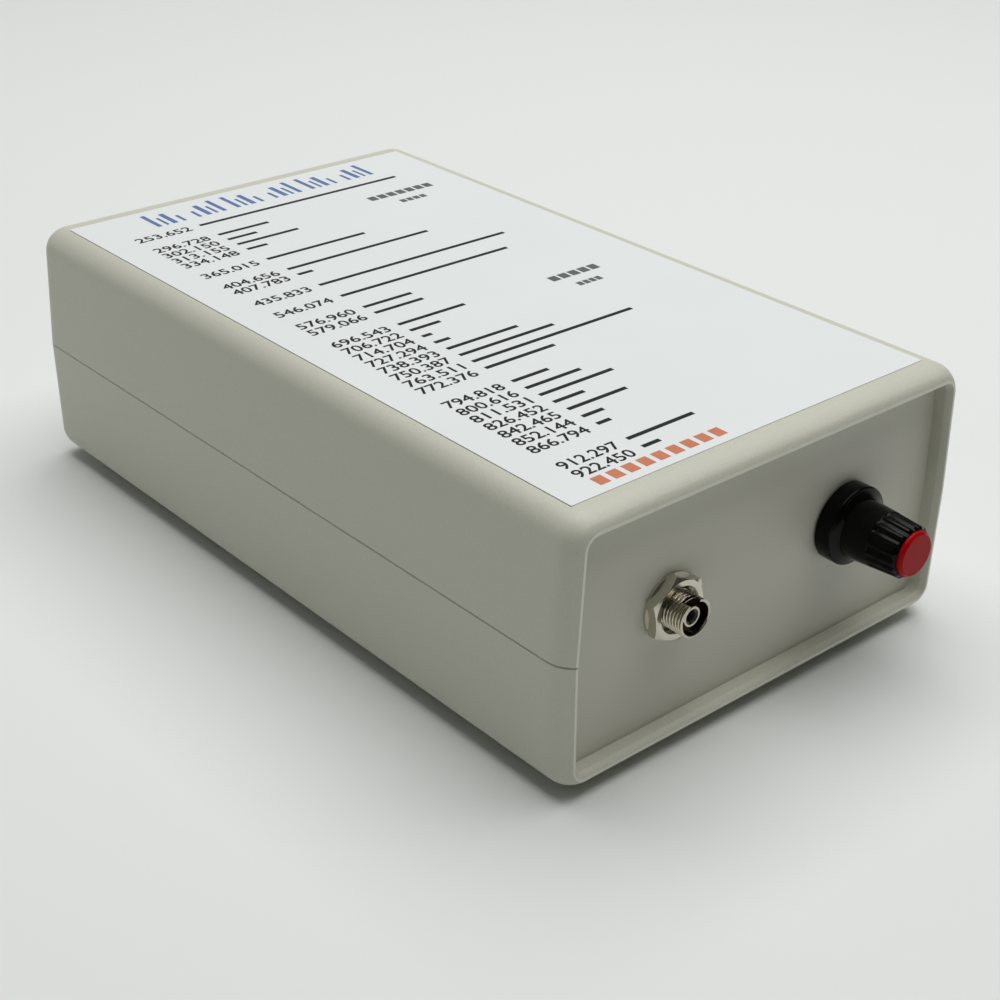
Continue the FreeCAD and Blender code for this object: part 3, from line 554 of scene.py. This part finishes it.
# the white ceramic sleeve inside the adaptor, painted dark grey-brown for the shade deep in the bore
PAINTED_SHADE_SLEEVE = Finish("sleeve_painted_shade", (0.075, 0.068, 0.06), 0.3, Grain.SATIN, 2500.0, 2e-6, 0.1, 0.08)
CERAMIC = Finish("white_ceramic", (0.72, 0.71, 0.67), 0.35, Grain.SATIN, 2500.0, 2e-6, 0.04, 0.08)
GLASS = Finish(
    "quartz_glass", (0.95, 0.97, 0.98), 0.05, Grain.SATIN, 400.0, 1e-6, 0.01, 0.02, transmission=0.9
)
LAMINATE = Finish("board_laminate", (0.02, 0.12, 0.045), 0.35, Grain.WOVEN, 6000.0, 4e-6, 0.12, 0.08)
NYLON = Finish("nylon", (0.72, 0.70, 0.63), 0.45, Grain.SATIN, 900.0, 3e-6, 0.04, 0.06)
FERRITE = Finish("ferrite", (0.025, 0.025, 0.028), 0.55, Grain.SPARK, 2500.0, 2e-5, 0.2, 0.1)
TAPE = Finish("winding_tape", (0.62, 0.38, 0.03), 0.3, Grain.SATIN, 600.0, 5e-6, 0.1, 0.08)
FILM_CASE = Finish("capacitor_case", (0.35, 0.03, 0.02), 0.3, Grain.SATIN, 600.0, 5e-6, 0.1, 0.08)
SLEEVING = Finish("capacitor_sleeve", (0.01, 0.02, 0.06), 0.25, Grain.SATIN, 600.0, 4e-6, 0.1, 0.08)
EPOXY = Finish("moulded_epoxy", (0.012, 0.012, 0.012), 0.5, Grain.SPARK, 3500.0, 1e-5, 0.2, 0.1)
PHENOLIC = Finish("pressed_board", (0.16, 0.06, 0.025), 0.55, Grain.SPARK, 1500.0, 1e-5, 0.2, 0.1)
RED_WIRE = Finish("red_wire", (0.42, 0.012, 0.012), 0.35, Grain.SATIN, 900.0, 3e-6, 0.05, 0.05)
WHITE_WIRE = Finish("white_wire", (0.72, 0.72, 0.70), 0.35, Grain.SATIN, 900.0, 3e-6, 0.05, 0.05)
BLACK_WIRE = Finish("black_wire", (0.012, 0.012, 0.012), 0.35, Grain.SATIN, 900.0, 3e-6, 0.05, 0.05)

NODE_FINISHES: dict[str, Finish] = {
    "top_shell": CASE,
    "bottom_shell": CASE,
    "front_panel": PANEL,
    "rear_panel": PANEL,
    "rubber_feet": RUBBER,
    "case_screws": ZINC,
    "label": LABEL,
    "printed_bars": BLACK_INK,
    "printed_heading": BLUE_INK,
    "printed_footer": ORANGE_INK,
    "adaptor_body": NICKEL,
    "adaptor_sleeve": PAINTED_SHADE_SLEEVE,
    "adaptor_washer": NICKEL,
    "adaptor_nut": NICKEL,
    "knob": KNOB_BLACK,
    "knob_cap": CAP_RED,
    "control_shaft": NICKEL,
    "control_bush": NICKEL,
    "control_can": TINNED,
    "control_terminals": PHENOLIC,
    "control_lugs": TINNED,
    "control_washer": NICKEL,
    "control_nut": NICKEL,
    "lamp_block": MILLED,
    "lamp_block_lid": MILLED,
    "lamp_screws": ZINC,
    "lamp_tube": GLASS,
    "lamp_cap": CERAMIC,
    "driver_board": LAMINATE,
    "board_screws": ZINC,
    "board_headers": NYLON,
    "transformer_core": FERRITE,
    "transformer_coil": TAPE,
    "ballast_capacitor": FILM_CASE,
    "smoothing_capacitors": SLEEVING,
    "heat_sink": ANODISED,
    "power_transistor": EPOXY,
    "inlet_body": EPOXY,
    "inlet_pin": NICKEL,
    "inlet_washer": NICKEL,
    "inlet_nut": NICKEL,
    "inlet_lugs": TINNED,
    "lamp_leads": WHITE_WIRE,
    "control_leads": BLACK_WIRE,
    "inlet_leads": RED_WIRE,
}


@dataclass
class LabelPrint:
    """Numbers beside the chart's bars, and the small plain captions to its right."""

    wardrobe: Wardrobe
    first_row_y: float = 70.0 * MM + CASE_Y
    row_pitch: float = 4.0 * MM
    groups: tuple[tuple[str, ...], ...] = (
        ("253.652",),
        ("296.728", "302.150", "313.155", "334.148"),
        ("365.015",),
        ("404.656", "407.783"),
        ("435.833",),
        ("546.074",),
        ("576.960", "579.066"),
        ("696.543", "706.722", "714.704", "727.294", "738.393", "750.387", "763.511", "772.376"),
        ("794.818", "800.616", "811.531", "826.452", "842.465", "852.144", "866.794"),
        ("912.297", "922.450"),
    )
    left_x: float = -41.0 * MM
    right_x: float = -26.5 * MM
    digit_height: float = 3.05 * MM
    drop: float = 1.98 * MM  # baseline below a bar's middle
    weight: float = 0.015  # how far strokes are widened each way, in the face's own size
    relief: float = 0.004  # half thickness of the set text, in the face's own size
    curve_steps: int = 3  # points along each curve of a digit
    bar_width: float = 1.1 * MM
    bar_drop: float = 0.1 * MM
    ink: float = 0.03 * MM
    mark_share: float = 0.78  # of its pitch that a caption's mark is wide
    # left, right, middle line, number of marks, height: millimetres about the case's middle
    captions: tuple[tuple[float, float, float, int, float], ...] = (
        (18.9, 38.8, 59.8, 7, 2.6),
        (24.3, 32.4, 54.1, 4, 1.9),
        (18.1, 32.9, -7.3, 5, 2.6),
        (21.2, 28.5, -13.0, 4, 1.9),
    )

    def build(self) -> None:
        """Makes, dresses and places the numbers and the captions."""
        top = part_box("label")[1].z
        self._numbers(top)
        self._bars(top)
        self._captions(top)

    def _rows(self) -> list[tuple[str, float]]:
        """Each number and where its row lies along the lid.

        Returns:
            Pairs of text and the Y of the row's bar.
        """
        rows = []
        y = self.first_row_y
        for group in self.groups:
            for text in group:
                rows.append((text, y))
                y -= self.row_pitch
            y -= self.row_pitch
        return rows

    def _numbers(self, top: float) -> None:
        """One mesh of all numbers. Each is set by the built-in face, then scaled so that it fills
        the space from left_x to right_x and its digits are digit_height tall.

        Args:
            top: Height of the label's face.
        """
        points: list[np.ndarray] = []
        faces: list[list[int]] = []
        count = 0
        for text, y in self._rows():
            curve = bpy.data.curves.new("number", "FONT")
            curve.body = text
            curve.resolution_u = self.curve_steps
            curve.extrude = self.relief
            curve.bevel_depth = self.weight
            curve.bevel_resolution = 0
            holder = bpy.data.objects.new("number", curve)
            bpy.context.scene.collection.objects.link(holder)
            graph = bpy.context.evaluated_depsgraph_get()
            flat = bpy.data.meshes.new_from_object(holder.evaluated_get(graph))
            raw = np.zeros(len(flat.vertices) * 3)
            flat.vertices.foreach_get("co", raw)
            raw = raw.reshape(-1, 3)
            low, high = raw.min(0), raw.max(0)
            size = np.array([self.right_x - self.left_x, self.digit_height, self.ink])
            placed = (raw - low) / (high - low) * size
            placed += np.array([self.left_x, y - self.drop, top])
            points.append(placed)
            faces.extend([[v + count for v in p.vertices] for p in flat.polygons])
            count += len(placed)
            bpy.data.objects.remove(holder)
            bpy.data.curves.remove(curve)
            bpy.data.meshes.remove(flat)
        piece = mesh_object("printed_numbers", np.concatenate(points), faces, smooth=False)
        self.wardrobe.dress(piece, BLACK_INK)
        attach(piece, Body.CASE.value)
        LOG.info("printed_numbers: %d points", count)

    def _captions(self, top: float) -> None:
        """Rows of plain marks where the sheet names its two halves.

        Each row is a run of equal marks with narrow gaps.

        Args:
            top: Height of the label's face.
        """
        boxes = []
        for left, right, y, count, height in self.captions:
            pitch = (right - left) / count
            x0 = left + pitch * np.arange(count)
            low = np.stack([x0, np.full(count, y - height / 2)], -1)
            high = low + np.array([pitch * self.mark_share, height])
            boxes.append(np.stack([low, high], 1))
        spans = np.concatenate(boxes) * MM
        spans[:, :, 1] += CASE_Y
        piece = self._plates("printed_captions", spans, top)
        self.wardrobe.dress(piece, GREY_INK)
        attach(piece, Body.CASE.value)
        LOG.info("printed_captions: %d marks", len(spans))

    def _bars(self, top: float) -> None:
        """The chart's bars at the printed weight, each as long as its solid.

        Args:
            top: Height of the label's face.
        """
        solid = bpy.data.objects["printed_bars"].data
        raw = np.zeros(len(solid.vertices) * 3)
        solid.vertices.foreach_get("co", raw)
        raw = raw.reshape(-1, 3)
        spans = []
        for _, y in self._rows():
            x = raw[np.abs(raw[:, 1] - y) < self.row_pitch / 4, 0]
            middle = y - self.bar_drop
            spans.append([[x.min(), middle - self.bar_width / 2], [x.max(), middle + self.bar_width / 2]])
        piece = self._plates("printed_lines", np.array(spans), top)
        self.wardrobe.dress(piece, BLACK_INK)
        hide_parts("printed_bars")
        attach(piece, Body.CASE.value)
        LOG.info("printed_lines: %d bars", len(spans))

    def _plates(self, name: str, spans: np.ndarray, top: float) -> bpy.types.Object:
        """Thin oblong plates of ink in one mesh.

        Args:
            name: The piece's name.
            spans: Lowest and highest X and Y of each plate.
            top: Height of the label's face.

        Returns:
            The piece.
        """
        ring = np.array([[0, 0], [1, 0], [1, 1], [0, 1]])
        far = np.concatenate([ring, ring])  # 1 where a corner lies at its span's highest X or Y
        x = spans[:, 0, 0][:, None] * (1 - far[:, 0]) + spans[:, 1, 0][:, None] * far[:, 0]
        y = spans[:, 0, 1][:, None] * (1 - far[:, 1]) + spans[:, 1, 1][:, None] * far[:, 1]
        z = top + np.repeat([0.0, self.ink], len(ring)) + np.zeros_like(x)
        sides = np.array([[3, 2, 1, 0], [4, 5, 6, 7], [0, 1, 5, 4], [1, 2, 6, 5], [2, 3, 7, 6], [3, 0, 4, 7]])
        faces = (sides[None] + 8 * np.arange(len(spans))[:, None, None]).reshape(-1, 4)
        return mesh_object(name, np.stack([x, y, z], -1), faces.tolist(), smooth=False)


@dataclass
class ThreadedAdaptor:
    """The fibre adaptor with its screw thread, in place of the plain solid."""

    wardrobe: Wardrobe
    axis_x: float = -25.4 * MM
    axis_z: float = 31.4 * MM
    tip_y: float = -95.8 * MM + CASE_Y
    crest: float = 4.0 * MM
    thread_depth: float = 0.46 * MM
    pitch: float = 0.75 * MM
    thread_length: float = 5.2 * MM
    shank: float = 3.75 * MM
    wall: float = 0.6 * MM
    socket_depth: float = 5.6 * MM
    tube: float = 2.15 * MM
    tube_setback: float = 1.0 * MM
    tube_bore: float = 1.62 * MM
    shoulder: tuple[float, float, float] = (9.0 * MM, 11.0 * MM, 6.5 * MM)  # start, end, radius
    tail: float = 17.0 * MM
    notch_width: float = 2.8 * MM
    notch_depth: float = 1.75 * MM
    notch_angle: float = 98.0  # degrees from +X towards +Z
    # points at the keyway's two sides, over its half width, and how near them no other point stays
    notch_sides: tuple[float, ...] = (-1.01, -0.99, 0.99, 1.01)
    side_room: float = 0.01  # radians
    columns: int = 120
    thread_steps: int = 14  # rings of points per turn of the thread
    flank: float = 1.35  # steepness of the thread's flanks
    crest_flat: float = 0.17  # lifts the groove off the crest, so that a narrow flat is left
    lead: float = 0.1 * MM  # plain length before the first groove
    run_in: float = 0.3 * MM  # over which the first groove deepens
    bevel: float = 0.12 * MM  # at the inner edges of the tip
    tip_bevel: float = 0.15 * MM  # at its outer edge
    sharp_angle: float = 40.0  # degrees

    def build(self) -> None:
        """Makes, dresses and places the threaded body."""
        angles = self._angles()
        distance, radius, threaded = self._profile()
        turn = angles[None, :] / (2 * np.pi)
        d = np.repeat(distance[:, None], len(angles), 1)
        r = np.repeat(radius[:, None], len(angles), 1)
        wave = np.abs(((d / self.pitch - turn) % 1.0) * 2 - 1)
        groove = np.clip(wave * self.flank - self.crest_flat, 0, 1)
        start = np.clip((d - self.lead) / self.run_in, 0, 1)
        r = r - threaded[:, None] * self.thread_depth * groove * start
        slot = np.abs(angles - np.radians(self.notch_angle)) < self.notch_width / 2 / self.crest
        wall = (r > (self.tube + self.crest) / 2) & (d < self.notch_depth)
        d = np.where(slot[None, :] & wall, self.notch_depth, d)
        points = np.stack(
            [self.axis_x + r * np.cos(angles), self.tip_y + d, self.axis_z + r * np.sin(angles)], -1
        )
        piece = mesh_object("adaptor_threaded", points, closed_grid_faces(*d.shape))
        point_outwards(piece)
        sharpen(piece, self.sharp_angle)
        self.wardrobe.dress(piece, DARKER_NICKEL)
        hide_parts("adaptor_body")
        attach(piece, Body.CASE.value)
        LOG.info("adaptor_threaded: %d points", points.size // 3)

    def _angles(self) -> np.ndarray:
        """Angles round the axis, with a close pair at each side of the keyway.

        Returns:
            Rising angles in radians, from 0 to a full turn, the end left out.
        """
        middle = np.radians(self.notch_angle)
        half = self.notch_width / 2 / self.crest
        edges = np.array(self.notch_sides) * half + middle
        even = np.arange(self.columns) * 2 * np.pi / self.columns
        keep = np.all(np.abs(even[:, None] - edges[None, :]) > self.side_room, 1)
        return np.sort(np.concatenate([even[keep], edges]))

    def _profile(self) -> tuple[np.ndarray, np.ndarray, np.ndarray]:
        """Closed profile from the tip back along the outside and forward through the bore.

        Returns:
            Distance from the tip, radius, and 1 where the surface is threaded.
        """
        count = int(self.thread_length / self.pitch * self.thread_steps)
        thread = np.linspace(0.0, self.thread_length, count)
        start, end, flange = self.shoulder
        outside = [
            (self.thread_length + 0.01 * MM, self.shank, 0),
            (start, self.shank, 0),
            (start, flange, 0),
            (end, flange, 0),
            (end, self.shank, 0),
            (self.tail, self.shank, 0),
            (self.tail, self.tube_bore, 0),
            (self.tube_setback, self.tube_bore, 0),
            (self.tube_setback, self.tube - self.bevel, 0),
            (self.tube_setback + self.bevel, self.tube, 0),
            (self.socket_depth, self.tube, 0),
            (self.socket_depth, self.crest - self.wall, 0),
            (self.notch_depth, self.crest - self.wall, 0),
            (self.bevel, self.crest - self.wall, 0),
            (0.0, self.crest - self.wall + self.bevel, 0),
            (0.0, self.crest - self.tip_bevel, 0),
        ]
        front = np.stack([thread + self.lead, np.full_like(thread, self.crest), np.ones_like(thread)], -1)
        table = np.concatenate([front, np.array(outside)])
        return table[:, 0], table[:, 1], table[:, 2]


@dataclass
class FlutedKnob:
    """The knob's shell with the flutes where the photograph has them: on the outer half of the body."""

    wardrobe: Wardrobe
    axis_x: float = 23.9 * MM
    axis_z: float = 31.9 * MM
    panel_y: float = -88.8 * MM + CASE_Y
    gap: float = 0.5 * MM
    skirt: tuple[float, float, float] = (4.2 * MM, 8.5 * MM, 7.4 * MM)  # end, radius, radius inside
    skirt_round: float = 0.5 * MM
    skirt_floor: float = 3.5 * MM
    body_foot: tuple[float, float] = (5.1 * MM, 6.45 * MM)  # distance from the panel, radius
    body_end: tuple[float, float] = (17.8 * MM, 5.6 * MM)  # distance, radius
    end_bevel: float = 0.5 * MM
    socket: tuple[float, float] = (16.6 * MM, 4.88 * MM)  # floor of the cap's socket, radius
    bore: float = 3.03 * MM
    hub: tuple[float, float] = (6.6 * MM, 4.3 * MM)  # roof of the hollow round the control's nut, radius
    flutes: int = 18
    flute_start: float = 11.0 * MM
    flute_run: float = 0.5 * MM
    flute_depth: float = 0.26 * MM
    flute_half_angle: float = 8.0  # degrees
    flute_turn: float = 5.0  # degrees from +Z towards +X
    # places across a flute, from its middle over its half width
    flute_steps: tuple[float, ...] = (-1.25, -1.0, -0.8, -0.5, -0.2, 0.2, 0.5, 0.8, 1.0)
    # places along a flute's start, over its run
    run_steps: tuple[float, ...] = (-0.02, 0.0, 0.03, 0.1, 0.25, 0.5, 0.75, 1.0)
    round_steps: int = 6
    body_steps: int = 8
    sharp_angle: float = 24.0  # degrees

    def build(self) -> None:
        """Makes, dresses and places the knob's shell."""
        angles, share = self._angles()
        table = self._profile()
        distance, radius, fluted = table[:, 0], table[:, 1], table[:, 2]
        step = np.clip((distance - self.flute_start) / self.flute_run, 0, 1)
        depth = fluted * self.flute_depth * np.sqrt(1 - (1 - step) ** 2)
        groove = np.clip(1 - share**2, 0, 1)
        r = radius[:, None] - depth[:, None] * groove[None, :]
        y = np.repeat((self.panel_y - distance)[:, None], len(angles), 1)
        points = np.stack([self.axis_x + r * np.sin(angles), y, self.axis_z + r * np.cos(angles)], -1)
        piece = mesh_object("knob_fluted", points, closed_grid_faces(*r.shape))
        point_outwards(piece)
        sharpen(piece, self.sharp_angle)
        self.wardrobe.dress(piece, KNOB_BLACK)
        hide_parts("knob")
        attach(piece, Body.KNOB.value)
        LOG.info("knob_fluted: %d points", points.size // 3)

    def _angles(self) -> tuple[np.ndarray, np.ndarray]:
        """Angles from +Z towards +X, closer together where a flute meets a ridge.

        Returns:
            Angles in radians, and each one's distance from its flute's middle over the half width.
        """
        share = np.array(self.flute_steps)
        middle = (np.arange(self.flutes) + 0.5) * 360.0 / self.flutes + self.flute_turn
        degrees = middle[:, None] + share[None, :] * self.flute_half_angle
        return np.radians(degrees).ravel(), np.tile(share, self.flutes)

    def _profile(self) -> np.ndarray:
        """Closed profile from the skirt's rim over the outside and back through the bores.

        Returns:
            Rows of distance from the panel, radius, and 1 where the surface is fluted.
        """
        skirt_end, skirt_radius, skirt_inside = self.skirt
        end, end_radius = self.body_end
        turn = np.linspace(0, np.pi / 2, self.round_steps)
        rim = np.stack(
            [
                skirt_end - self.skirt_round * (1 - np.sin(turn)),
                skirt_radius - self.skirt_round * (1 - np.cos(turn)),
                np.zeros(self.round_steps),
            ],
            -1,
        )
        run = self.flute_start + np.array(self.run_steps) * self.flute_run
        rest = np.linspace(run[-1], end - self.end_bevel, self.body_steps)[1:]
        along = np.concatenate([[self.body_foot[0]], run, rest])
        slope = (end_radius - self.body_foot[1]) / (end - self.end_bevel - self.body_foot[0])
        body = np.stack(
            [along, self.body_foot[1] + slope * (along - self.body_foot[0]), np.ones_like(along)], -1
        )
        inside = [
            (end, end_radius - self.end_bevel, 0),
            (end, self.socket[1], 0),
            (self.socket[0], self.socket[1], 0),
            (self.socket[0], self.bore, 0),
            (self.hub[0], self.bore, 0),
            (self.hub[0], self.hub[1], 0),
            (self.skirt_floor, self.hub[1], 0),
            (self.skirt_floor, skirt_inside, 0),
            (self.gap, skirt_inside, 0),
            (self.gap, skirt_radius, 0),
        ]
        return np.concatenate([rim, body, np.array(inside)])


@dataclass(frozen=True)
class SoftLight:
    """One oblong area light: where it is, what it points at, its size in metres and its watts."""

    name: str
    place: tuple[float, float, float]
    aim: tuple[float, float, float]
    size: tuple[float, float]
    power: float

    def build(self) -> None:
        """Makes the light and turns it to its aim."""
        data = bpy.data.lights.new(self.name, "AREA")
        data.shape = "RECTANGLE"
        data.size, data.size_y = self.size
        data.energy = self.power
        light = bpy.data.objects.new(self.name, data)
        light.location = self.place
        light.rotation_euler = (Vector(self.aim) - Vector(self.place)).to_track_quat("-Z", "Y").to_euler()
        bpy.context.scene.collection.objects.link(light)
        LOG.info("%s: %.2f W", self.name, self.power)


@dataclass
class Studio:
    """Pale floor, soft lights and the camera at the photograph's angle.

    The camera's numbers come from a fit to the photograph: `eye` is in millimetres about the
    middle of the case, at the height of the shells' underside.
    """

    wardrobe: Wardrobe
    eye: tuple[float, float, float] = (-235.584, -279.107, 204.705)
    right: tuple[float, float, float] = (0.755571, -0.654839, 0.017281)
    up: tuple[float, float, float] = (0.301710, 0.371295, 0.878129)
    ahead: tuple[float, float, float] = (0.581450, 0.658275, -0.478111)
    focal_px: float = 1791.397
    centre_px: tuple[float, float] = (500.077, 495.975)
    frame_px: float = 1000.0
    sensor: float = 36.0  # millimetres
    clip: tuple[float, float] = (0.01, 20.0)
    foot: float = 2.0 * MM
    floor_size: float = 8.0
    floor_colour: Colour = srgb(233, 235, 233)
    lights: tuple[SoftLight, ...] = (
        SoftLight("overhead_light", (0.275, 0.07, 1.15), (0.275, 0.07, 0.0), (1.3, 1.4), 16.9),
        SoftLight("left_fill", (-0.45, 0.75, 0.3), (-0.05, 0.08, 0.03), (0.5, 0.4), 0.55),
        SoftLight("back_wall", (1.3, 1.5, 0.3), (0.0, 0.0, 0.05), (3.4, 0.6), 4.5),
    )
    room_colour: Colour = (0.92, 0.95, 0.93)
    room_strength: float = 0.06

    def build(self) -> None:
        """Sets up the floor, lights, surroundings and camera."""
        self._floor()
        for light in self.lights:
            light.build()
        self._room()
        self._camera()

    def _floor(self) -> None:
        """Flat pale floor under the object."""
        half = self.floor_size / 2
        corners = np.array([[-half, -half, 0], [half, -half, 0], [half, half, 0], [-half, half, 0]])
        floor = mesh_object("studio_floor", corners, [[0, 1, 2, 3]], smooth=False)
        finish = Finish("floor_paper", self.floor_colour, 0.7, Grain.SATIN, 40.0, 1e-6, 0.004, 0.02)
        self.wardrobe.dress(floor, finish)

    def _room(self) -> None:
        """A dim even room round the lights."""
        world = bpy.data.worlds.new("room")
        world.use_nodes = True
        background = world.node_tree.nodes["Background"]
        background.inputs["Color"].default_value = self.room_colour + (1.0,)
        background.inputs["Strength"].default_value = self.room_strength
        bpy.context.scene.world = world
        bpy.context.scene.view_settings.view_transform = "Standard"

    def _camera(self) -> None:
        """Camera placed and turned as the photograph's was."""
        data = bpy.data.cameras.new("photo_camera")
        data.sensor_width = self.sensor
        data.lens = self.focal_px / self.frame_px * data.sensor_width
        data.shift_x = (self.frame_px / 2 - self.centre_px[0]) / self.frame_px
        data.shift_y = (self.centre_px[1] - self.frame_px / 2) / self.frame_px
        data.clip_start, data.clip_end = self.clip
        camera = bpy.data.objects.new("photo_camera", data)
        turn = np.stack([self.right, self.up, -np.array(self.ahead)], 1)
        matrix = np.eye(4)
        matrix[:3, :3] = turn
        matrix[:3, 3] = np.array(self.eye) * MM + np.array([0.0, CASE_Y, self.foot])
        camera.matrix_world = Matrix(matrix.tolist())
        bpy.context.scene.collection.objects.link(camera)
        bpy.context.scene.camera = camera


def dress_solids(frame: dict, wardrobe: Wardrobe) -> None:
    """Gives every carried-over solid its finish.

    Args:
        wardrobe: Where the materials come from.
    """
    for name, piece in frame["nodes"].items():
        wardrobe.dress(piece, NODE_FINISHES[name])
        LOG.info("%s: %s", name, NODE_FINISHES[name].name)


def main() -> None:
    """Builds the dressed part and its studio."""
    logging.basicConfig(level=logging.INFO)
    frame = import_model()
    wardrobe = Wardrobe()
    dress_solids(frame, wardrobe)
    LabelPrint(wardrobe).build()
    ThreadedAdaptor(wardrobe).build()
    FlutedKnob(wardrobe).build()
    Studio(wardrobe).build()


if __name__ == "__main__":
    main()
